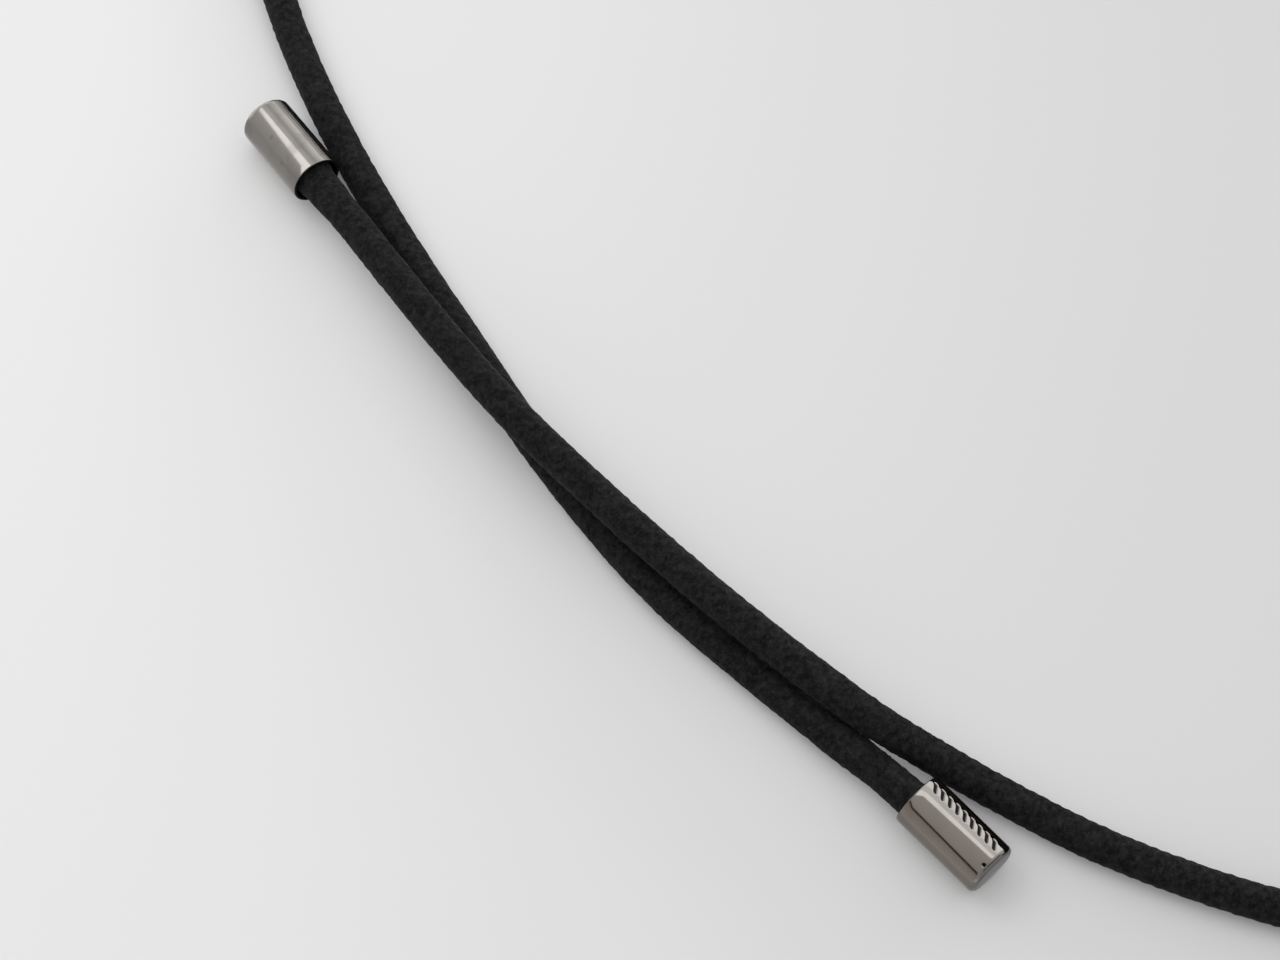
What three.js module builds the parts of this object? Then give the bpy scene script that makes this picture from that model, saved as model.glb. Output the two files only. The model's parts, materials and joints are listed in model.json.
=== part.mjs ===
// A cord necklace lying open on a table: one round cord whose two ends cross once, each in a metal cup.
// Millimetres, +Z up. The table is z = 0 and the origin is under the middle of the loop.
import * as THREE from "three";

// Cord
const CORD_DIAMETER = 3.0;
const CORD_SIDES = 8;
const CORD_STEPS = 120;

// End caps
const CAP_DIAMETER = 4.9;
const CAP_LENGTH = 8.7;
const CAP_WALL = 0.3;
const CAP_FLOOR = 0.8;
const CAP_EDGE_RADIUS = 0.5;
const CAP_EDGE_STEPS = 4;
const CAP_SIDES = 40;

// Where the middle of each cap's closed end lies, the way its mouth faces, and how far its mouth is tipped up.
const CAPS = [
  { name: "end_cap_upper", end: [-61.0, 13.1, 2.46], heading: -53.6, rise: 4.8 },
  { name: "end_cap_lower", end: [2.1, -58.4, 2.46], heading: 133.5, rise: 0 },
];

// The cord's centreline, from inside the upper cap, over its own other end, round the loop and into the lower cap.
const ROUTE = [
  // in the upper cap and out of its mouth
  [-60.3, 12.1, 2.5], [-55.9, 5.8, 3.2], [-52.7, 1.9, 3.4], [-48.7, -3.8, 4.1], [-43.7, -10.7, 4.8],
  // over the other strand, then down its shoulder to the table
  [-37.6, -18.2, 5.0], [-29.9, -26.1, 4.8], [-23.4, -32.3, 4.5], [-17.1, -37.9, 4.3], [-10.6, -43.1, 3.9],
  [-6.3, -46.1, 3.2], [-1.9, -48.5, 1.9], [3.0, -51.4, 1.6], [11.8, -56.1, 1.5], [24.6, -60.9, 1.5],
  // round the loop
  [35.3, -63.1, 1.5], [46.1, -61.7, 1.5], [55.1, -55.6, 1.5], [61.2, -44.1, 1.5], [62.7, -26.4, 1.5],
  [60.5, -2.5, 1.5], [55.2, 20.9, 1.5], [42.7, 41.2, 1.5], [22.8, 54.3, 1.5], [-0.5, 60.2, 1.5],
  [-24.4, 62.8, 1.5], [-42.1, 62.1, 1.5], [-54.0, 56.9, 1.5], [-61.4, 47.2, 1.5], [-62.7, 35.7, 1.5],
  // back beside the first strand, under it and into the lower cap
  [-60.0, 25.4, 1.5], [-55.4, 14.1, 1.5], [-49.1, 2.1, 1.5], [-41.7, -10.0, 1.5], [-34.7, -21.0, 1.5],
  [-25.8, -32.4, 1.5], [-17.4, -40.4, 1.5], [-10.4, -46.5, 1.7], [-4.8, -51.5, 2.3], [1.2, -57.6, 2.4],
];

const cloth = new THREE.MeshStandardMaterial({ color: 0x1f1f20, roughness: 0.9, metalness: 0.0 });
const gunmetal = new THREE.MeshStandardMaterial({ color: 0x8b8781, roughness: 0.18, metalness: 1.0 });

// A smooth path whose cross-section stays upright, so that a flat side of the cord faces the table.
class UprightPath extends THREE.CatmullRomCurve3 {
  computeFrenetFrames(segments) {
    const up = new THREE.Vector3(0, 0, 1);
    const tangents = [];
    const normals = [];
    const binormals = [];
    for (let i = 0; i <= segments; i += 1) {
      const tangent = this.getTangentAt(i / segments);
      const normal = new THREE.Vector3().crossVectors(up, tangent).normalize();
      tangents.push(tangent);
      normals.push(normal);
      binormals.push(new THREE.Vector3().crossVectors(tangent, normal));
    }
    return { tangents, normals, binormals };
  }
}

// The corners' distance from the centre that gives the many-sided section the area of the round cord.
function cornerRadius() {
  const turn = (2 * Math.PI) / CORD_SIDES;
  return (CORD_DIAMETER / 2) * Math.sqrt(turn / Math.sin(turn));
}

function cordSection() {
  const section = new THREE.Shape();
  const radius = cornerRadius();
  for (let i = 0; i < CORD_SIDES; i += 1) {
    const angle = (2 * Math.PI * (i + 0.5)) / CORD_SIDES;
    const corner = [radius * Math.cos(angle), radius * Math.sin(angle)];
    if (i === 0) {
      section.moveTo(...corner);
    } else {
      section.lineTo(...corner);
    }
  }
  section.closePath();
  return section;
}

function makeCord() {
  const path = new UprightPath(ROUTE.map((point) => new THREE.Vector3(...point)));
  const geometry = new THREE.ExtrudeGeometry(cordSection(), { steps: CORD_STEPS, extrudePath: path });
  const cord = new THREE.Mesh(geometry, cloth);
  cord.name = "cord";
  return cord;
}

// Half the cup's section, from the middle of the closed end round the outside to the mouth and back up the bore.
function capProfile() {
  const outer = CAP_DIAMETER / 2;
  const bore = outer - CAP_WALL;
  const profile = [new THREE.Vector2(0, 0)];
  for (let i = 0; i <= CAP_EDGE_STEPS; i += 1) {
    const angle = (Math.PI / 2) * (i / CAP_EDGE_STEPS);
    profile.push(
      new THREE.Vector2(
        outer - CAP_EDGE_RADIUS + CAP_EDGE_RADIUS * Math.sin(angle),
        CAP_EDGE_RADIUS - CAP_EDGE_RADIUS * Math.cos(angle),
      ),
    );
  }
  profile.push(new THREE.Vector2(outer, CAP_LENGTH));
  profile.push(new THREE.Vector2(bore, CAP_LENGTH));
  profile.push(new THREE.Vector2(bore, CAP_FLOOR));
  profile.push(new THREE.Vector2(0, CAP_FLOOR));
  return profile;
}

// The lathe turns the cup about its own Y axis, which is then pointed the way the mouth faces.
function makeCap({ name, end, heading, rise }) {
  const cap = new THREE.Mesh(new THREE.LatheGeometry(capProfile(), CAP_SIDES), gunmetal);
  const level = Math.cos(THREE.MathUtils.degToRad(rise));
  const way = new THREE.Vector3(
    level * Math.cos(THREE.MathUtils.degToRad(heading)),
    level * Math.sin(THREE.MathUtils.degToRad(heading)),
    Math.sin(THREE.MathUtils.degToRad(rise)),
  );
  cap.quaternion.setFromUnitVectors(new THREE.Vector3(0, 1, 0), way);
  cap.position.set(...end);
  cap.name = name;
  return cap;
}

const group = new THREE.Group();
group.add(makeCord());
for (const cap of CAPS) {
  group.add(makeCap(cap));
}
export default group;
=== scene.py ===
"""Cord necklace: a round black braided cord with a dark metal end cap on each end.

The file is laid out as a Blender add-on and run as a script. Lengths are in metres.
"""

import json
import math

import bpy
from mathutils import Matrix, Vector, noise

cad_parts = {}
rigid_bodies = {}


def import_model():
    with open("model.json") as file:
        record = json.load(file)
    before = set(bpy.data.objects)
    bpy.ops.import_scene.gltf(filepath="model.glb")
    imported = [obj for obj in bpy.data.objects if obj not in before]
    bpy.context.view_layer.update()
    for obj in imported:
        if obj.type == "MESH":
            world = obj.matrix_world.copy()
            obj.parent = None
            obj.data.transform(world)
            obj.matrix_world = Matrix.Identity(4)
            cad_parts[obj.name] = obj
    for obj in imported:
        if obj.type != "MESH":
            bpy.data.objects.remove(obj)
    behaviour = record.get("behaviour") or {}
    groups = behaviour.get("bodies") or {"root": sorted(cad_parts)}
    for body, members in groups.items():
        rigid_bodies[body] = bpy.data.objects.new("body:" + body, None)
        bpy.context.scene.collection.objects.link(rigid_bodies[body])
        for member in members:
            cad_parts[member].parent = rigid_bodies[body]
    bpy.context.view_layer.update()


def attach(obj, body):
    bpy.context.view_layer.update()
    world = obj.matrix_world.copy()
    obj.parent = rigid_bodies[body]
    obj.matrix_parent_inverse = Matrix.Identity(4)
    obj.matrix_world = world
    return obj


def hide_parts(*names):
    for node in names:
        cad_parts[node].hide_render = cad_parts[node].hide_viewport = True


bl_info = {
    "name": "Cord Necklace",
    "version": (1, 0, 0),
    "blender": (4, 5, 0),
    "location": "View3D > Sidebar > Necklace",
    "description": "Builds a black cord necklace with metal end caps on its packed frame",
    "category": "Add Mesh",
}

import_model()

# the middle line of the cord, from inside the upper cap to inside the lower one
CORD_ROUTE = [
    # in the upper cap and out of its mouth
    (-0.0603, 0.0121, 0.0025),
    (-0.0559, 0.0058, 0.0032),
    (-0.0527, 0.0019, 0.0034),
    (-0.0487, -0.0038, 0.0041),
    (-0.0437, -0.0107, 0.0048),
    # over the other strand, then down its shoulder to the table
    (-0.0376, -0.0182, 0.0050),
    (-0.0299, -0.0261, 0.0048),
    (-0.0234, -0.0323, 0.0045),
    (-0.0171, -0.0379, 0.0043),
    (-0.0106, -0.0431, 0.0039),
    (-0.0063, -0.0461, 0.0032),
    (-0.0019, -0.0485, 0.0019),
    (0.0030, -0.0514, 0.0016),
    (0.0118, -0.0561, 0.0015),
    (0.0246, -0.0609, 0.0015),
    # round the loop
    (0.0353, -0.0631, 0.0015),
    (0.0461, -0.0617, 0.0015),
    (0.0551, -0.0556, 0.0015),
    (0.0612, -0.0441, 0.0015),
    (0.0627, -0.0264, 0.0015),
    (0.0605, -0.0025, 0.0015),
    (0.0552, 0.0209, 0.0015),
    (0.0427, 0.0412, 0.0015),
    (0.0228, 0.0543, 0.0015),
    (-0.0005, 0.0602, 0.0015),
    (-0.0244, 0.0628, 0.0015),
    (-0.0421, 0.0621, 0.0015),
    (-0.0540, 0.0569, 0.0015),
    (-0.0614, 0.0472, 0.0015),
    (-0.0627, 0.0357, 0.0015),
    # back beside the first strand, under it and into the lower cap
    (-0.0600, 0.0254, 0.0015),
    (-0.0554, 0.0141, 0.0015),
    (-0.0491, 0.0021, 0.0015),
    (-0.0417, -0.0100, 0.0015),
    (-0.0347, -0.0210, 0.0015),
    (-0.0258, -0.0324, 0.0015),
    (-0.0174, -0.0404, 0.0015),
    (-0.0104, -0.0465, 0.0017),
    (-0.0048, -0.0515, 0.0023),
    (0.0012, -0.0576, 0.0024),
]

# each cap: the middle of its closed end, where its mouth points (degrees from +X), how far it rises
CAPS = {
    "end_cap_upper": ((-0.0610, 0.0131, 0.00246), -53.6, 4.8),
    "end_cap_lower": ((0.0021, -0.0584, 0.00246), 133.5, 0.0),
}


# ---------------------------------------------------------------- sizes and colours


def length(name, description, default, least, most):
    """A length that the user may change."""
    return bpy.props.FloatProperty(
        name=name,
        description=description,
        default=default,
        min=least,
        max=most,
        unit="LENGTH",
        subtype="DISTANCE",
        precision=5,
    )


def colour(name, description, default):
    """A colour that the user may change."""
    return bpy.props.FloatVectorProperty(
        name=name,
        description=description,
        default=default,
        size=3,
        min=0.0,
        max=1.0,
        subtype="COLOR",
    )


class NecklaceSizes(bpy.types.PropertyGroup):
    """Sizes of the necklace's pieces."""

    cord_diameter: length("Cord Diameter", "Thickness of the round cord", 0.0030, 0.001, 0.006)
    braid_pitch: length(
        "Braid Pitch", "Length along the cord of one crossing of the braid", 0.0011, 0.0004, 0.004
    )
    braid_relief: length(
        "Braid Relief", "Depth of the hollows between the yarns", 0.00007, 0.0, 0.0004
    )
    yarn_fluff: length(
        "Yarn Fluff", "How deep the yarn's unevenness goes in", 0.00009, 0.0, 0.0004
    )
    cap_diameter: length("Cap Diameter", "Outside width of an end cap", 0.0049, 0.002, 0.010)
    cap_length: length("Cap Length", "Length of an end cap", 0.0087, 0.003, 0.020)
    cap_wall: length("Cap Wall", "Thickness of a cap's tube wall", 0.0003, 0.0001, 0.001)
    cap_floor: length("Cap Floor", "Thickness of a cap's closed end", 0.0008, 0.0002, 0.002)
    cap_edge: length("Cap Edge", "Rounding of a cap's closed end", 0.0005, 0.0001, 0.001)
    notch_depth: length(
        "Notch Depth", "Depth of the grooves on the lower cap", 0.00012, 0.0, 0.0002
    )
    punch_diameter: length(
        "Punch Diameter", "Width of the punch mark on the lower cap", 0.00040, 0.0001, 0.001
    )
    punch_depth: length(
        "Punch Depth", "Depth of the punch mark on the lower cap", 0.00020, 0.0, 0.0003
    )


class NecklaceColours(bpy.types.PropertyGroup):
    """Colours of the necklace and its stage."""

    cord: colour("Cord", "Black of the cord's yarn", (0.0030, 0.0030, 0.0033))
    # paler fibres: mottled at random, and on the raised yarn tops partly worn and partly a painted
    # highlight
    yarn_pale_fibres_and_highlight: colour(
        "Yarn Highlight", "Paler fibres on top of the yarn", (0.034, 0.034, 0.036)
    )
    lint: colour("Lint", "Specks of lint caught in the yarn", (0.16, 0.16, 0.155))
    metal: colour("Metal", "Dark polished metal of the caps", (0.310, 0.292, 0.272))
    smudge: colour("Smudge", "Duller patches on the metal", (0.215, 0.203, 0.190))
    # painted shade inside the caps and in the bottoms of their marks
    cap_painted_shade: colour(
        "Blackened", "Inside of the caps and the bottoms of the marks", (0.028, 0.027, 0.026)
    )
    # the floor's two colours paint a falloff of light: brighter to the left, darker to the right
    floor_left_painted_light: colour("Floor, Left", "Pale studio floor", (0.74, 0.74, 0.74))
    floor_right_painted_shade: colour(
        "Floor, Right", "Pale studio floor where it is a little darker", (0.62, 0.62, 0.62)
    )


# ---------------------------------------------------------------- shader maths


class Wire:
    """A node's socket that can be used in sums, each sum adding a Math node."""

    def __init__(self, nodes, socket):
        self.nodes = nodes
        self.socket = socket

    def sum_with(self, operation, *values):
        return self.nodes.node("ShaderNodeMath", {"operation": operation}, dict(enumerate(values)))

    def __add__(self, other):
        return self.sum_with("ADD", self, other)

    def __radd__(self, other):
        return self.sum_with("ADD", other, self)

    def __sub__(self, other):
        return self.sum_with("SUBTRACT", self, other)

    def __mul__(self, other):
        return self.sum_with("MULTIPLY", self, other)

    def __rmul__(self, other):
        return self.sum_with("MULTIPLY", other, self)

    def __gt__(self, other):
        return self.sum_with("GREATER_THAN", self, other)

    def __lt__(self, other):
        return self.sum_with("LESS_THAN", self, other)

    def __abs__(self):
        return self.sum_with("ABSOLUTE", self)


class Nodes:
    """The nodes of a material or of the world."""

    def __init__(self, owner):
        owner.use_nodes = True
        self.owner = owner
        self.tree = owner.node_tree
        self.tree.nodes.clear()

    def node(self, kind, settings=None, sockets=None, out=0):
        """Adds a node with its settings and its sockets' values or links. Gives one output."""
        made = self.tree.nodes.new(kind)
        for name, value in (settings or {}).items():
            setattr(made, name, value)
        for name, value in (sockets or {}).items():
            if isinstance(value, Wire):
                self.tree.links.new(value.socket, made.inputs[name])
            else:
                made.inputs[name].default_value = value
        return Wire(self, made.outputs[out]) if made.outputs else None

    def noise(self, where, scale, detail=2.0, roughness=0.5):
        """Soft noise from 0 to 1."""
        return self.node(
            "ShaderNodeTexNoise",
            {"noise_dimensions": "3D"},
            {"Vector": where, "Scale": scale, "Detail": detail, "Roughness": roughness},
        )

    def step(self, value, low, high):
        """0 below low, 1 above high and smooth between."""
        return self.node(
            "ShaderNodeMapRange",
            {"interpolation_type": "SMOOTHSTEP"},
            {"Value": value, "From Min": low, "From Max": high},
        )

    def blend(self, share, first, second):
        """A colour between two others."""
        return self.node(
            "ShaderNodeMix",
            {"data_type": "RGBA"},
            {"Factor": share, 6: first, 7: second},
            out=2,
        )

    def point(self, x, y, z):
        """Three values as one place."""
        return self.node("ShaderNodeCombineXYZ", None, {"X": x, "Y": y, "Z": z})

    def surface(self, **sockets):
        """The Principled shader and the output. Socket names have underscores for spaces."""
        shader = self.node(
            "ShaderNodeBsdfPrincipled",
            None,
            {name.replace("_", " "): value for name, value in sockets.items()},
        )
        self.node("ShaderNodeOutputMaterial", None, {"Surface": shader})
        return self.owner


def new_finish(name):
    """An empty material to build nodes in."""
    return Nodes(bpy.data.materials.new(name))


def opaque(rgb):
    """A colour property as four numbers."""
    return (*rgb, 1.0)


def sine(value):
    """Sine of a number or of a node's output."""
    return value.sum_with("SINE", value) if isinstance(value, Wire) else math.sin(value)


def sign(value):
    """-1 or 1, the sign of a number or of a node's output."""
    return value.sum_with("SIGN", value) if isinstance(value, Wire) else math.copysign(1.0, value)


def larger(first, second):
    """The larger of two numbers or of two node outputs."""
    if isinstance(first, Wire):
        return first.sum_with("MAXIMUM", first, second)
    return max(first, second)


# ---------------------------------------------------------------- the cord's line and braid

YARNS_EACH_WAY = 8
YARN_ROUNDNESS = 1.0
YARN_RISE = 0.6
# the tops of the yarns stand this far outside the cord's own size
YARN_PROUD = 0.00008
# the yarns' unevenness: how fine (per metre) and its share
YARN_LUMPS = ((1300.0, 0.55), (3100.0, 0.45))
# the line is drawn in so many steps from one point of the route to the next, then spaced evenly
ROUTE_STEPS = 60
RING_STEP = 0.000205
RING_SIDES = 40
UP = Vector((0.0, 0.0, 1.0))
# the swellings lie on this share of the cord at each of its ends
END_SHARE = 1 / 8
# outside each cap's mouth: how much more the cord's radius is, and how far it leans to the cap's
# right hand side. Both die away over this length
SWELLINGS = {"end_cap_upper": (0.00018, -0.00017), "end_cap_lower": (0.00006, -0.00007)}
SWELL_LENGTH = 0.0050
# the radius is this much more in the mouth, and it dies away from inside to outside it
MOUTH_FILL = 0.00022
MOUTH_FILL_ENDS = (-0.0008, 0.0006)
# where the strands part before the lower cap, on each cap's strand: a place on its middle line,
# how much more the radius is there and where the line leans. Both die away over the reach
PARTING = {
    "end_cap_upper": ((-0.0077, -0.0451, 0.0035), 0.00003, (-0.00005, -0.00006, 0.0)),
    "end_cap_lower": ((-0.0098, -0.0470, 0.0018), 0.00009, (0.0, 0.0, 0.0)),
}
PARTING_REACH = 0.0050
# how fine the finish's unevenness is, per metre
WANDER_FINENESS = 1100.0
CLOUD_FINENESS = 800.0
MOTTLE_FINENESS = 1900.0
FLUFF_FINENESS = 6000.0
# how far the yarns wander, in crossings
WANDER = 1.6
# how often the fibres come across a yarn and along it, in crossings
FIBRES_ACROSS, FIBRES_ALONG = 6.0, 1.6
# shares of the paler fibres: on the raised yarn tops, where they are partly worn fibres and partly
# a painted highlight, in mottles and in clouds
WORN_AND_HIGHLIGHT_SHARE, MOTTLE_SHARE, CLOUD_SHARE = 0.36, 0.32, 0.12
PALE_FROM, PALE_TO = 0.38, 0.66


def yarn_heights(right_turn, left_turn):
    """Heights of the braid's two yarn families where they cross, over and under by turns."""
    right = sine(right_turn * math.pi)
    left = sine(left_turn * math.pi)
    right_height = YARN_ROUNDNESS * abs(right) + YARN_RISE * sign(right) * left
    left_height = YARN_ROUNDNESS * abs(left) - YARN_RISE * sign(left) * right
    return right_height, left_height


def smooth_line(points, per_span):
    """Centripetal Catmull-Rom line through the points."""
    ends = [points[0] * 2 - points[1], *points, points[-1] * 2 - points[-2]]
    line = []
    for before, start, stop, after in zip(ends, ends[1:], ends[2:], ends[3:]):
        first, span, last = (
            math.sqrt((b - a).length) for a, b in ((before, start), (start, stop), (stop, after))
        )
        leave = (start - before) / first - (stop - before) / (first + span) + (stop - start) / span
        arrive = (stop - start) / span - (after - start) / (span + last) + (after - stop) / last
        leave, arrive = leave * span, arrive * span
        for n in range(per_span):
            t = n / per_span
            line.append(
                start
                + leave * t
                + (3 * (stop - start) - 2 * leave - arrive) * t**2
                + (2 * (start - stop) + leave + arrive) * t**3
            )
    return [*line, points[-1]]


def even_line(line, step):
    """The same line with points at an even distance near the step."""
    travelled = [0.0]
    for a, b in zip(line, line[1:]):
        travelled.append(travelled[-1] + (b - a).length)
    count = round(travelled[-1] / step)
    even, at = [], 0
    for n in range(count + 1):
        wanted = travelled[-1] * n / count
        while at < len(line) - 2 and travelled[at + 1] < wanted:
            at += 1
        share = (wanted - travelled[at]) / (travelled[at + 1] - travelled[at])
        even.append(line[at].lerp(line[at + 1], share))
    return even


# ---------------------------------------------------------------- mesh helpers

# points nearer than this to a place count as on it
NEAR = 1e-6


def link(name, mesh):
    """An object of that mesh in the scene."""
    made = bpy.data.objects.new(name, mesh)
    bpy.context.scene.collection.objects.link(made)
    return made


def deselect():
    """Nothing is selected after this."""
    for item in bpy.context.scene.objects:
        item.select_set(False)


def select_edges(made, wanted):
    """In edit mode, selects the edges whose two ends both pass."""
    bpy.ops.mesh.select_all(action="DESELECT")
    bpy.ops.object.mode_set(mode="OBJECT")
    vertices = made.data.vertices
    for edge in made.data.edges:
        edge.select = all(wanted(vertices[v].co) for v in edge.vertices)
    bpy.ops.object.mode_set(mode="EDIT")


def select_faces(made, wanted):
    """In edit mode, selects the faces that pass."""
    bpy.ops.mesh.select_all(action="DESELECT")
    bpy.ops.object.mode_set(mode="OBJECT")
    for face in made.data.polygons:
        face.select = wanted(face)
    bpy.ops.object.mode_set(mode="EDIT")


# ---------------------------------------------------------------- stage

CAMERA_PLACE = (-0.0267, -0.1305, 0.23865)
CAMERA_TILT = 24.42
CAMERA_LENS = 84.375
CAMERA_SENSOR = 36.0
CAMERA_SEES = (0.01, 20.0)
FLOOR_SIDE = 4.0
# the floor is brighter left of the first place and darker right of the second, a painted falloff of
# light
FLOOR_PAINTED_FALLOFF = (-0.09, 0.04)
# the sky is even, and brighter towards one side
SKY_SIDE = (0.50, 0.75, 0.43)
SKY_EVEN = 0.60
SKY_EXTRA = 0.50
SKY_TURNS = (0.1, 1.0)
# the floor glows this much, painted light that lifts the shadows on it
FLOOR_GLOW = 0.10
BLACK = 0.004
PIECES_MIDDLE = Vector((-0.020, -0.030, 0.0))
UPPER_CAP_MIDDLE = Vector((-0.0585, 0.0096, 0.0028))

# soft lights for all but polished metal: what they face, where they are, width, depth, brightness
MATT_PANELS = {
    "overhead": (PIECES_MIDDLE, (0.0, 0.10, 0.99), 0.60, 0.70, 0.70, 0.55, (1.0, 0.0, 0.0)),
    "left": (UPPER_CAP_MIDDLE, (-0.50, 0.20, 0.84), 0.30, 0.20, 0.20, 1.7, (1.0, 0.0, 0.0)),
    "right": (PIECES_MIDDLE, (0.62, 0.77, 0.13), 0.50, 0.50, 0.20, 3.0, (-0.77, 0.63, 0.0)),
}
# cards that only show as reflections in a polished cap. Each is given by where its reflection
# lies: from and to in degrees round the cap's top, at its closed end and at its mouth; how far
# off the card is; and its brightness along its two long sides
CARDS = {
    "end_cap_upper": (
        (-60, -42, -60, -42, 0.012, BLACK, BLACK),
        (-27, -12, -27, -12, 0.050, 1.65, 1.00),
        (-4, 5, -4, 5, 0.060, 1.05, 1.10),
        (5, 12, 5, 20.5, 0.050, 2.40, 2.20),
        (12, 45, 20.5, 45, 0.060, 0.84, 0.63),
        (45, 85, 45, 85, 0.030, 0.58, 0.62),
    ),
    "end_cap_lower": (
        (-107, -60, -107, -60, 0.020, (0.37, 0.36, 0.35), (0.63, 0.61, 0.60)),
        (-60, -42, -60, -38, 0.060, (0.56, 0.52, 0.48), (0.20, 0.15, 0.13)),
        (-42, -38, -38, -34, 0.060, (0.065, 0.045, 0.040), (0.09, 0.06, 0.05)),
        (-38, 0, -34, -5, 0.060, (0.52, 0.50, 0.46), (0.71, 0.68, 0.65)),
        (0, 7, -5, 5, 0.060, 1.90, 1.90),
        (7, 17, 5, 17, 0.060, 1.30, 1.25),
        (17, 34, 17, 34, 0.060, 1.70, 1.90),
        (34, 56, 34, 56, 0.012, BLACK, BLACK),
    ),
}
# a card runs on past the cap's two ends, in cap lengths from the closed end
CARD_ENDS = (-0.7, 3.0)
# a card that would lie under the floor stops at this share of the way to it
CARD_ABOVE_FLOOR = 0.95
# the same, standing or lying beyond a cap's closed end: how far off and how far above its middle
# one long side is, the same for the other, from and to on its right hand side, and brightness
END_CARDS = {
    "end_cap_upper": ((0.030, -0.0020, 0.030, 0.0250, -0.030, 0.030, 1.50),),
    "end_cap_lower": (
        (0.0001, -0.0024, 0.012, -0.0024, -0.006, 0.006, 0.27),
        (0.012, -0.0024, 0.012, 0.0110, -0.012, 0.020, 0.42),
        (0.012, 0.0110, 0.012, 0.0170, -0.012, 0.020, BLACK),
    ),
}


def turn_towards(made, middle, toward, distance, along):
    """Puts a flat thing off in a direction, facing back, with its width along another."""
    back = Vector(toward).normalized()
    made.location = middle + back * distance
    across = Vector(along)
    across = (across - back * across.dot(back)).normalized()
    made.rotation_mode = "QUATERNION"
    turn = Matrix((across, back.cross(across), back)).transposed()
    made.rotation_quaternion = turn.to_quaternion()


def add_panel(name, middle, toward, distance, width, depth, brightness, along):
    """A rectangular light. Its power gives it that brightness at any size."""
    light = bpy.data.lights.new(name, "AREA")
    light.shape = "RECTANGLE"
    light.size, light.size_y = width, depth
    light.energy = brightness * math.pi * width * depth
    made = link(name, light)
    turn_towards(made, middle, toward, distance, along)
    return made


def mirrored(cap, sizes, angle, distance, off):
    """Where the camera looks, that far off, by way of a place on a cap's polished wall."""
    place = cap_matrix(cap)
    angle = math.radians(angle)
    point = place @ on_wall(sizes, distance, angle)
    outward = place.to_3x3() @ Vector((math.cos(angle), math.sin(angle), 0.0))
    seen = (point - Vector(CAMERA_PLACE)).normalized().reflect(outward)
    if seen.z < 0:
        off = min(off, -CARD_ABOVE_FLOOR * point.z / seen.z)
    return point + seen * off


def aimed_corners(cap, sizes, card):
    """The corners of a card whose reflection lies where it is wanted."""
    near_at_end, far_at_end, near_at_mouth, far_at_mouth, off = card[:5]
    sides = []
    for at_end, at_mouth in ((near_at_end, near_at_mouth), (far_at_end, far_at_mouth)):
        first = mirrored(cap, sizes, at_end, 0.0, off)
        last = mirrored(cap, sizes, at_mouth, sizes.cap_length, off)
        sides.append([first.lerp(last, run) for run in CARD_ENDS])
    near_side, far_side = sides
    return near_side[0], far_side[0], far_side[1], near_side[1]


def end_corners(cap, card):
    """The corners of a card beyond a cap's closed end."""
    off, up, far_off, far_up, left, right = card[:6]
    near_side = (up, left, -off), (up, right, -off)
    far_side = (far_up, right, -far_off), (far_up, left, -far_off)
    place = cap_matrix(cap)
    return [place @ Vector(corner) for corner in (*near_side, *far_side)]


def add_card(name, corners, near_shade, far_shade):
    """A card that only shows as a reflection in polished metal."""
    mesh = bpy.data.meshes.new(name)
    mesh.from_pydata(corners, [], [(0, 1, 2, 3)])
    shades = mesh.color_attributes.new("shade", "FLOAT_COLOR", "POINT")
    for item, tone in zip(shades.data, (near_shade, far_shade, far_shade, near_shade)):
        item.color = opaque(tone if isinstance(tone, tuple) else (tone, tone, tone))
    finish = new_finish(name)
    shade = finish.node("ShaderNodeAttribute", {"attribute_name": "shade"})
    glow = finish.node("ShaderNodeEmission", None, {"Color": shade})
    finish.node("ShaderNodeOutputMaterial", None, {"Surface": glow})
    mesh.materials.append(finish.owner)
    made = link(name, mesh)
    made.visible_camera = made.visible_diffuse = made.visible_shadow = False


def add_sky():
    """An even pale sky that is brighter to one side."""
    world = bpy.data.worlds.new("studio")
    sky = Nodes(world)
    direction = sky.node("ShaderNodeTexCoord", out="Generated")
    towards = sky.node(
        "ShaderNodeVectorMath",
        {"operation": "DOT_PRODUCT"},
        {0: direction, 1: Vector(SKY_SIDE).normalized()},
        out="Value",
    )
    brightness = sky.step(towards, *SKY_TURNS) * SKY_EXTRA + SKY_EVEN
    shader = sky.node("ShaderNodeBackground", None, {"Strength": brightness})
    sky.node("ShaderNodeOutputWorld", None, {"Surface": shader})
    bpy.context.scene.world = world


class NECKLACE_OT_stage(bpy.types.Operator):
    """Add the camera, the pale floor and the soft studio lights"""

    bl_idname = "necklace.stage"
    bl_label = "Camera, Floor and Lights"

    def execute(self, context):
        sizes, colours = context.scene.necklace_sizes, context.scene.necklace_colours
        lens = bpy.data.cameras.new("camera")
        lens.sensor_width, lens.lens = CAMERA_SENSOR, CAMERA_LENS
        lens.clip_start, lens.clip_end = CAMERA_SEES
        camera = link("camera", lens)
        camera.location = CAMERA_PLACE
        camera.rotation_euler = (math.radians(CAMERA_TILT), 0.0, 0.0)
        context.scene.camera = camera
        context.scene.view_settings.view_transform = "Standard"

        deselect()
        bpy.ops.mesh.primitive_plane_add(size=FLOOR_SIDE)
        floor = context.object
        floor.name = floor.data.name = "studio_floor"
        floor.data.materials.append(floor_finish(colours))

        add_sky()
        for name, panel in MATT_PANELS.items():
            add_panel(name, *panel).visible_glossy = False
        for cap in CAPS:
            for number, card in enumerate(CARDS[cap]):
                add_card(f"{cap}_card_{number}", aimed_corners(cap, sizes, card), *card[5:])
            for number, card in enumerate(END_CARDS[cap]):
                add_card(f"{cap}_end_card_{number}", end_corners(cap, card), card[-1], card[-1])
        return {"FINISHED"}


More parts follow.
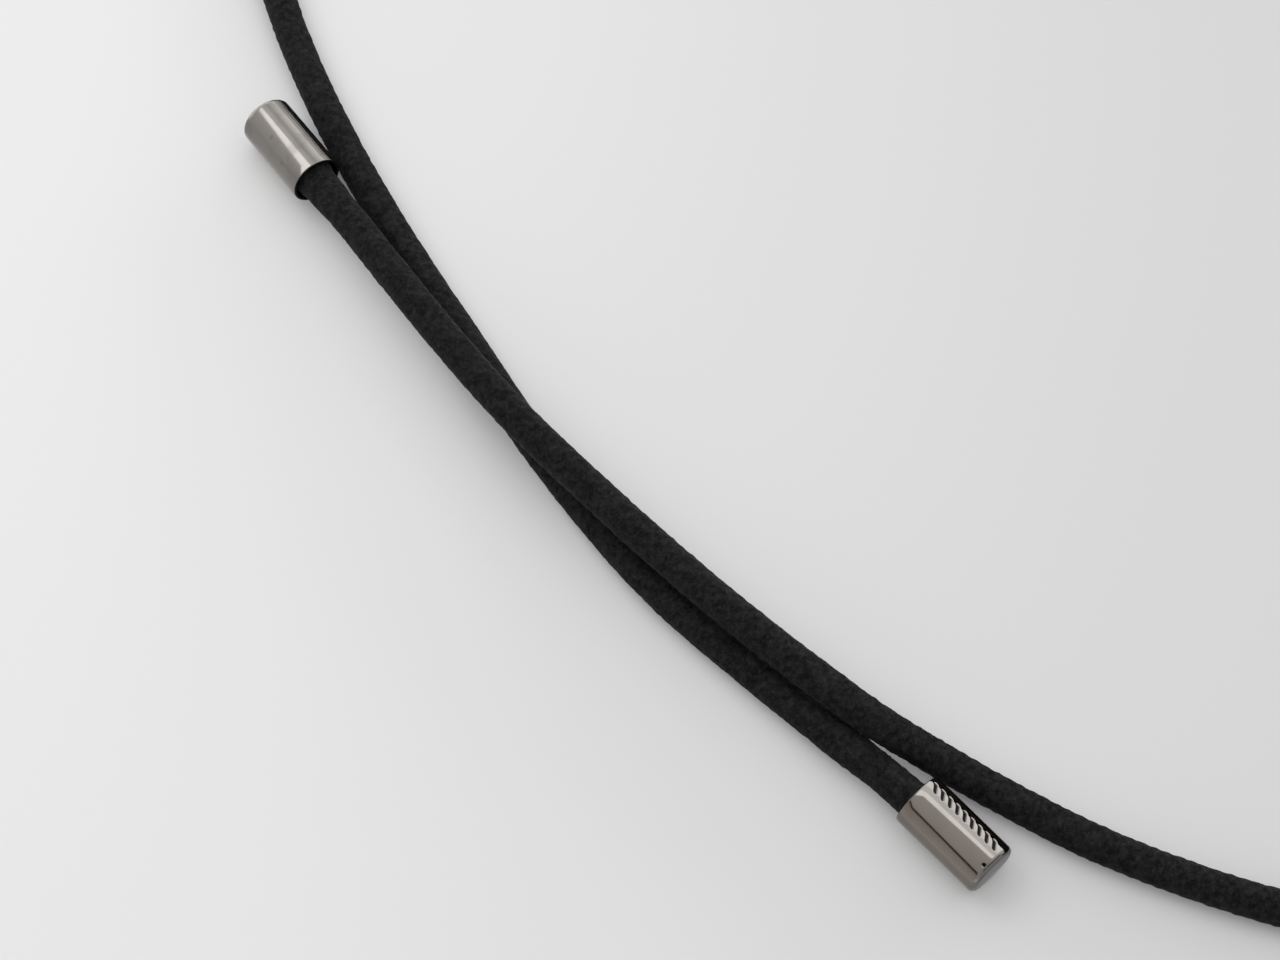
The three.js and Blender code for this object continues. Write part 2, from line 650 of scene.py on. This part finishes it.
def floor_finish(colours):
    """A pale matt board, a little brighter to the left: a painted falloff of light. It also glows a
    little, painted light that lifts its shadows.
    """
    finish = new_finish("studio_board")
    place = finish.node("ShaderNodeTexCoord", out="Object")
    across = finish.node("ShaderNodeSeparateXYZ", None, {0: place}, "X")
    # painted falloff of light: the floor's colour runs from brighter at the left to darker at the
    # right
    left, right = opaque(colours.floor_left_painted_light), opaque(colours.floor_right_painted_shade)
    shade = finish.blend(finish.step(across, *FLOOR_PAINTED_FALLOFF), left, right)
    grain = finish.noise(place, 900.0, 3.0)
    bump = finish.node(
        "ShaderNodeBump", None, {"Strength": 0.05, "Distance": 0.0001, "Height": grain}
    )
    return finish.surface(
        Base_Color=shade,
        Roughness=0.9,
        Specular_IOR_Level=0.0,
        # the glow is painted light that lifts the floor's shadows
        Emission_Color=(1.0, 1.0, 1.0, 1.0),
        Emission_Strength=FLOOR_GLOW,
        Normal=bump,
    )


# ---------------------------------------------------------------- cord


def cord_finish(colours):
    """Matt black braided yarn with short paler fibres on top, partly worn fibres and partly a
    painted highlight on the raised yarn.
    """
    finish = new_finish("black_braided_yarn")
    lay = finish.node("ShaderNodeUVMap", {"uv_map": "cord_lay"})
    around = finish.node("ShaderNodeSeparateXYZ", None, {0: lay}, "X")
    along = finish.node("ShaderNodeSeparateXYZ", None, {0: lay}, "Y")
    place = finish.node("ShaderNodeTexCoord", out="Object")
    # the yarns wander, so that the braid isn't regular
    wander = finish.noise(place, WANDER_FINENESS) * WANDER
    right_turn = around * YARNS_EACH_WAY + along + wander
    left_turn = around * YARNS_EACH_WAY - along + wander
    right_height, left_height = yarn_heights(right_turn, left_turn)
    on_top = right_height > left_height
    height = larger(right_height, left_height)

    # short fibres that follow whichever yarn is on top
    right_lay = finish.point(right_turn * FIBRES_ACROSS, left_turn * FIBRES_ALONG, 0.0)
    left_lay = finish.point(right_turn * FIBRES_ALONG, left_turn * FIBRES_ACROSS, 9.0)
    right_fibres, left_fibres = (
        finish.noise(yarn_lay, 1.0, 2.0, 0.6) for yarn_lay in (right_lay, left_lay)
    )
    fibres = left_fibres + on_top * (right_fibres - left_fibres)
    clouds = finish.noise(place, CLOUD_FINENESS)
    mottle = finish.noise(place, MOTTLE_FINENESS, 3.0, 0.65)
    fluff = finish.noise(place, FLUFF_FINENESS, 2.0, 0.7)
    # paler on the raised yarn tops: partly worn fibres, partly a painted highlight
    worn_and_highlight = finish.step(fibres, 0.42, 0.72) * finish.step(height, 0.2, 1.2)
    pale = (
        worn_and_highlight * WORN_AND_HIGHLIGHT_SHARE
        + finish.step(mottle, PALE_FROM, PALE_TO) * MOTTLE_SHARE
        + finish.step(clouds, PALE_FROM, PALE_TO) * CLOUD_SHARE
    )
    # rare specks of lint, in the paler mottles only
    lint = finish.step(fluff, 0.74, 0.79) * finish.step(mottle, 0.60, 0.66)
    shade = finish.blend(pale, opaque(colours.cord), opaque(colours.yarn_pale_fibres_and_highlight))
    shade = finish.blend(lint, shade, opaque(colours.lint))
    bump = finish.node(
        "ShaderNodeBump",
        None,
        {
            "Strength": 0.9,
            "Distance": 0.00007,
            "Height": fibres * 0.8 + mottle * 0.9 + fluff * 0.4 + height * 0.2,
        },
    )
    return finish.surface(
        Base_Color=shade,
        Roughness=0.72 + mottle * 0.2,
        Specular_IOR_Level=0.10,
        Sheen_Weight=0.04,
        Sheen_Roughness=0.4,
        Normal=bump,
    )


def fade(value, start, stop):
    """1 before the start, 0 after the stop and smooth between."""
    share = min(max((value - start) / (stop - start), 0.0), 1.0)
    return 1 - share * share * (3 - 2 * share)


def swell_line(line, sizes):
    """Leans the line where it swells. Gives it with the extra radius at each of its points."""
    leaning, extras = [], []
    places = {name: cap_matrix(name) for name in CAPS}
    for n, middle in enumerate(line):
        name = "end_cap_upper" if n < len(line) / 2 else "end_cap_lower"
        # where the strands part
        parting, thicker, lean = PARTING[name]
        share = fade((middle - Vector(parting)).length, 0.0, PARTING_REACH)
        extra, leant = thicker * share, Vector(lean) * share
        # at the caps' mouths
        if min(n, len(line) - 1 - n) < len(line) * END_SHARE:
            thicker, lean = SWELLINGS[name]
            past_mouth = (places[name].inverted() @ middle).z - sizes.cap_length
            share = fade(past_mouth, 0.0, SWELL_LENGTH)
            extra += thicker * share + MOUTH_FILL * fade(past_mouth, *MOUTH_FILL_ENDS)
            leant += places[name].to_3x3() @ Vector((0.0, lean * share, 0.0))
        leaning.append(middle + leant)
        extras.append(extra)
    return leaning, extras


def cord_tube(line, sizes):
    """A tube round the line whose surface stands in braided yarns, closed at both ends."""
    pitches = (line[1] - line[0]).length / sizes.braid_pitch
    line, extras = swell_line(line, sizes)
    points, faces, lays = [], [], []
    for n, (middle, extra) in enumerate(zip(line, extras)):
        radius = sizes.cord_diameter / 2 + YARN_PROUD + extra
        ahead = (line[min(n + 1, len(line) - 1)] - line[max(n - 1, 0)]).normalized()
        side = ahead.cross(UP).normalized()
        top = side.cross(ahead)
        along = n * pitches
        for k in range(RING_SIDES):
            # the seam is underneath
            around = k / RING_SIDES
            angle = 2 * math.pi * around
            out = top * -math.cos(angle) + side * math.sin(angle)
            heights = yarn_heights(around * YARNS_EACH_WAY + along, around * YARNS_EACH_WAY - along)
            hollow = 1 - larger(*heights) / (YARN_ROUNDNESS + YARN_RISE)
            place = middle + out * radius
            uneven = 0.5 + sum(noise.noise(place * fine) * share for fine, share in YARN_LUMPS)
            depth = sizes.braid_relief * hollow + sizes.yarn_fluff * uneven
            point = middle + out * (radius - depth)
            # it is pressed flat where it lies on the floor
            point.z = max(point.z, 0.0)
            points.append(point)
    rings = len(line)
    for n in range(rings - 1):
        for k in range(RING_SIDES):
            nxt = (k + 1) % RING_SIDES
            a, b = n * RING_SIDES, (n + 1) * RING_SIDES
            faces.append((a + k, b + k, b + nxt, a + nxt))
            low, high = k / RING_SIDES, (k + 1) / RING_SIDES
            near, far = n * pitches, (n + 1) * pitches
            lays += [(low, near), (low, far), (high, far), (high, near)]
    for ring, order in ((0, 1), (rings - 1, -1)):
        middle = len(points)
        points.append(line[ring])
        along = ring * pitches
        for k in range(RING_SIDES):
            nxt = (k + 1) % RING_SIDES
            corner = (ring * RING_SIDES + k, ring * RING_SIDES + nxt, middle)
            faces.append(corner[::order])
            lay = [(k / RING_SIDES, along), ((k + 1) / RING_SIDES, along), (k / RING_SIDES, along)]
            lays += lay[::order]
    mesh = bpy.data.meshes.new("cord_visual")
    mesh.from_pydata(points, [], faces)
    lay_map = mesh.uv_layers.new(name="cord_lay")
    for corner, lay in zip(lay_map.data, lays):
        corner.uv = lay
    mesh.polygons.foreach_set("use_smooth", [True] * len(mesh.polygons))
    mesh.update()
    return mesh


class NECKLACE_OT_cord(bpy.types.Operator):
    """Add the braided cord along its route"""

    bl_idname = "necklace.cord"
    bl_label = "Cord"

    def execute(self, context):
        sizes, colours = context.scene.necklace_sizes, context.scene.necklace_colours
        route = [Vector(point) for point in CORD_ROUTE]
        line = even_line(smooth_line(route, ROUTE_STEPS), RING_STEP)
        cord = link("cord_visual", cord_tube(line, sizes))
        cord.data.materials.append(cord_finish(colours))
        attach(cord, "root")
        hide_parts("cord")
        run = sum((b - a).length for a, b in zip(line, line[1:]))
        return {"FINISHED"}


# ---------------------------------------------------------------- end caps

CAP_SIDES = 300
WALL_ROWS = 160
EDGE_SEGMENTS = 10
LIP_ROUNDING, LIP_SEGMENTS = 0.00009, 4
BORE_FILLET, FILLET_SEGMENTS = 0.0003, 5
MOUTH_TAPER = 0.00006
MOUTH_TAPER_LENGTH = 0.0007
# faces that meet at less than this are shaded as one
SMOOTH_BELOW = math.radians(35)
# the row of plain slanting grooves on the lower cap: where they are along it, how far round from
# the top, their slant, half their length and width, and the width of their sloping sides
FIRST_NOTCH, NOTCH_STEP, NOTCH_COUNT = 0.0012, 0.00083, 9
NOTCH_ANGLE = math.radians(27.0)
NOTCH_SLANT = 0.60
NOTCH_HALF_LENGTH = 0.00034
NOTCH_HALF_WIDTH = 0.00017
NOTCH_SLOPE = 0.00012
# points further out than these shares of the radius are on the outer wall, or on it and its edge
OUTER_WALL, OUTER_WALL_AND_EDGE = 0.99, 0.97
# the punch mark: distance from the closed end, and angle round from the top
PUNCH_MARK = (0.00060, math.radians(-18.7))
# the upper cap's smudges: the same, and size
SMUDGES = ((0.0062, math.radians(50.0), 0.00035), (0.0036, math.radians(31.0), 0.00030))
# what lies deeper than this under the outside is painted near black: painted shade in the cap's
# bore and in the bottoms of its marks
PAINTED_SHADE_FROM = 0.00006
# the polish of the closed end reaches this far up
PAINTED_SHADE_ABOVE = 0.00032
# how fine the clouds, specks and hairlines on the metal are, per metre
METAL_CLOUD_FINENESS = 420.0
SPECK_FINENESS = 1900.0
HAIRLINE_FINENESS = (5200.0, 5200.0, 160.0)
# what each adds to the roughness
DULL_ROUGHNESS, HAIRLINE_ROUGHNESS, INSIDE_ROUGHNESS = 0.07, 0.04, 0.4


def cap_matrix(name):
    """Where a cap lies: its own X is up, Y its right hand side and Z points out of its mouth."""
    end, heading, rise = CAPS[name]
    heading, rise = math.radians(heading), math.radians(rise)
    along = Vector(
        (math.cos(heading) * math.cos(rise), math.sin(heading) * math.cos(rise), math.sin(rise))
    )
    side = along.cross(UP).normalized()
    top = side.cross(along)
    turn = Matrix((top, side, along)).transposed()
    return Matrix.Translation(end) @ turn.to_4x4()


def on_wall(sizes, distance, angle):
    """A place on a cap's outer wall, in the cap's own coordinates."""
    radius = sizes.cap_diameter / 2
    return Vector((radius * math.cos(angle), radius * math.sin(angle), distance))


def cap_finish(name, sizes, colours, roughness, handling, smudge_places=()):
    """Dark polished metal with faint smudges and hairline scratches, with painted shade inside and
    in the bottoms of its marks.
    """
    finish = new_finish(name)
    lay = finish.node("ShaderNodeAttribute", {"attribute_name": "cap_lay"}, out="Vector")
    x, y, z = (finish.node("ShaderNodeSeparateXYZ", None, {0: lay}, axis) for axis in "XYZ")
    polished = sizes.cap_diameter / 2 - PAINTED_SHADE_FROM
    # painted shade: the bore and the bottoms of the marks are painted near black
    inside = (x * x + y * y < polished**2) * (z > PAINTED_SHADE_ABOVE)
    clouds = finish.noise(lay, METAL_CLOUD_FINENESS, 3.0, 0.55)
    specks = finish.noise(lay, SPECK_FINENESS)
    stretched = finish.node(
        "ShaderNodeMapping", None, {"Vector": lay, "Scale": HAIRLINE_FINENESS}
    )
    hairlines = finish.noise(stretched, 1.0)
    dull = finish.step(clouds, 0.45, 0.75) * handling
    spotted = finish.step(specks, 0.68, 0.80) * handling
    for distance, angle, size in smudge_places:
        away = finish.node(
            "ShaderNodeVectorMath",
            {"operation": "DISTANCE"},
            {0: lay, 1: on_wall(sizes, distance, angle)},
            out="Value",
        )
        spotted = spotted + finish.step(away + specks * size, size * 1.6, size * 0.6)
    shade = finish.blend(dull * 0.6 + spotted * 0.7, opaque(colours.metal), opaque(colours.smudge))
    # paints the shade inside the bore and in the marks
    shade = finish.blend(inside, shade, opaque(colours.cap_painted_shade))
    bump = finish.node(
        "ShaderNodeBump",
        None,
        {"Strength": 0.10, "Distance": 0.00001, "Height": hairlines * 0.6 + clouds * 0.4},
    )
    return finish.surface(
        Base_Color=shade,
        Metallic=1.0,
        Roughness=roughness
        + dull * DULL_ROUGHNESS
        + hairlines * HAIRLINE_ROUGHNESS
        + inside * INSIDE_ROUGHNESS,
        Normal=bump,
    )


def add_cap(name, sizes):
    """A one-ended tube: a cylinder whose mouth is bored, with rounded edges."""
    radius, long = sizes.cap_diameter / 2, sizes.cap_length
    deselect()
    bpy.ops.mesh.primitive_cylinder_add(
        vertices=CAP_SIDES, radius=radius, depth=long, location=(0, 0, long / 2)
    )
    cap = bpy.context.object
    cap.name = cap.data.name = name
    bpy.ops.object.transform_apply(location=True, rotation=True, scale=True)
    bpy.ops.object.mode_set(mode="EDIT")
    bpy.ops.mesh.select_mode(type="FACE")
    # the bore
    select_faces(cap, lambda face: face.normal.z > 0.9)
    bpy.ops.mesh.inset(thickness=sizes.cap_wall)
    bpy.ops.mesh.extrude_region_move(
        TRANSFORM_OT_translate={"value": (0, 0, sizes.cap_floor - long)}
    )
    # the rounded closed end, the fillet at the bottom of the bore and the lip
    bpy.ops.mesh.select_mode(type="EDGE")
    bore = radius - sizes.cap_wall
    for wanted, rounding, segments in (
        (lambda p: abs(p.z) < NEAR, sizes.cap_edge, EDGE_SEGMENTS),
        (
            lambda p: abs(p.z - sizes.cap_floor) < NEAR and abs(p.xy.length - bore) < NEAR,
            BORE_FILLET,
            FILLET_SEGMENTS,
        ),
        (lambda p: abs(p.z - long) < NEAR, LIP_ROUNDING, LIP_SEGMENTS),
    ):
        select_edges(cap, wanted)
        bpy.ops.mesh.bevel(offset=rounding, segments=segments, affect="EDGES")
    return cap


def add_wall_rows(cap, sizes):
    """Cuts the outer wall into fine rows, so that marks can be pressed into it."""
    radius = sizes.cap_diameter / 2
    bpy.ops.mesh.select_all(action="DESELECT")
    bpy.ops.object.mode_set(mode="OBJECT")
    vertices = cap.data.vertices
    for edge in cap.data.edges:
        a, b = (vertices[v].co for v in edge.vertices)
        on_outside = all(abs(end.xy.length - radius) < NEAR for end in (a, b))
        edge.select = on_outside and abs(a.z - b.z) > sizes.cap_length / 2
    bpy.ops.object.mode_set(mode="EDIT")
    bpy.ops.mesh.subdivide(number_cuts=WALL_ROWS, quadcorner="INNERVERT")


def soften_mouth(cap, sizes):
    """Draws the wall in a little towards the mouth, as polishing leaves it."""
    radius, start = sizes.cap_diameter / 2, sizes.cap_length - MOUTH_TAPER_LENGTH
    for point in cap.data.vertices:
        out = point.co.xy.length
        if point.co.z > start and out > radius - sizes.cap_wall / 2:
            drawn_in = MOUTH_TAPER * ((point.co.z - start) / MOUTH_TAPER_LENGTH) ** 2
            point.co.x *= 1 - drawn_in / out
            point.co.y *= 1 - drawn_in / out


def push_in(point, depth):
    """Moves a point of a cap's wall towards the cap's middle line."""
    inward = point.co.xy.normalized() * depth
    point.co.x -= inward.x
    point.co.y -= inward.y


def cut_notches(cap, sizes):
    """Cuts a row of short slanting grooves into the outer wall."""
    radius = sizes.cap_diameter / 2
    middles = [FIRST_NOTCH + NOTCH_STEP * number for number in range(NOTCH_COUNT)]
    across = math.cos(math.atan(NOTCH_SLANT))
    for point in cap.data.vertices:
        if point.co.xy.length < radius * OUTER_WALL:
            continue
        arc = (math.atan2(point.co.y, point.co.x) - NOTCH_ANGLE) * radius
        away = min(abs(point.co.z - NOTCH_SLANT * arc - middle) * across for middle in middles)
        away = math.hypot(away, max(abs(arc) - NOTCH_HALF_LENGTH, 0.0))
        share = min(max((NOTCH_HALF_WIDTH - away) / NOTCH_SLOPE, 0.0), 1.0)
        push_in(point, sizes.notch_depth * share)


def press_punch_mark(cap, sizes):
    """Moves the wall's points in, to a small round hollow."""
    radius = sizes.cap_diameter / 2
    place = on_wall(sizes, *PUNCH_MARK)
    for point in cap.data.vertices:
        away = (point.co - place).length / (sizes.punch_diameter / 2)
        if point.co.xy.length > radius * OUTER_WALL_AND_EDGE and away < 1:
            push_in(point, sizes.punch_depth * (1 - away**2))


def place_cap(cap, name):
    """Keeps the cap's own coordinates as an attribute, then moves its mesh to its place."""
    lay = cap.data.attributes.new("cap_lay", "FLOAT_VECTOR", "POINT")
    for item, point in zip(lay.data, cap.data.vertices):
        item.vector = point.co
    cap.data.transform(cap_matrix(name))
    cap.data.update()


class NECKLACE_OT_end_caps(bpy.types.Operator):
    """Add the two metal end caps, the lower one with its grooves and punch mark"""

    bl_idname = "necklace.end_caps"
    bl_label = "End Caps"

    def execute(self, context):
        sizes, colours = context.scene.necklace_sizes, context.scene.necklace_colours
        finishes = {
            "end_cap_upper": cap_finish("handled_dark_metal", sizes, colours, 0.11, 1.0, SMUDGES),
            "end_cap_lower": cap_finish("polished_dark_metal", sizes, colours, 0.07, 0.35),
        }
        for name in CAPS:
            cap = add_cap(name + "_visual", sizes)
            add_wall_rows(cap, sizes)
            bpy.ops.object.mode_set(mode="OBJECT")
            if name == "end_cap_lower":
                cut_notches(cap, sizes)
                press_punch_mark(cap, sizes)
            soften_mouth(cap, sizes)
            bpy.ops.object.shade_smooth_by_angle(angle=SMOOTH_BELOW)
            place_cap(cap, name)
            cap.data.materials.clear()
            cap.data.materials.append(finishes[name])
            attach(cap, "root")
            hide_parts(name)
        return {"FINISHED"}


# ---------------------------------------------------------------- panel and run


class NECKLACE_PT_panel(bpy.types.Panel):
    """Lists the steps, sizes and colours of the necklace"""

    bl_idname = "NECKLACE_PT_panel"
    bl_label = "Cord Necklace"
    bl_space_type = "VIEW_3D"
    bl_region_type = "UI"
    bl_category = "Necklace"

    def draw(self, context):
        for step in STEPS:
            self.layout.operator(step.bl_idname)
        for group in (context.scene.necklace_sizes, context.scene.necklace_colours):
            box = self.layout.box()
            for name in group.bl_rna.properties.keys():
                if name not in {"rna_type", "name"}:
                    box.prop(group, name)


STEPS = (NECKLACE_OT_stage, NECKLACE_OT_cord, NECKLACE_OT_end_caps)
CLASSES = (NecklaceSizes, NecklaceColours, *STEPS, NECKLACE_PT_panel)


def register():
    for item in CLASSES:
        bpy.utils.register_class(item)
    bpy.types.Scene.necklace_sizes = bpy.props.PointerProperty(type=NecklaceSizes)
    bpy.types.Scene.necklace_colours = bpy.props.PointerProperty(type=NecklaceColours)


def unregister():
    del bpy.types.Scene.necklace_colours
    del bpy.types.Scene.necklace_sizes
    for item in reversed(CLASSES):
        bpy.utils.unregister_class(item)


def main():
    """Runs every step in order."""
    register()
    bpy.ops.necklace.stage()
    bpy.ops.necklace.cord()
    bpy.ops.necklace.end_caps()


if __name__ == "__main__":
    main()
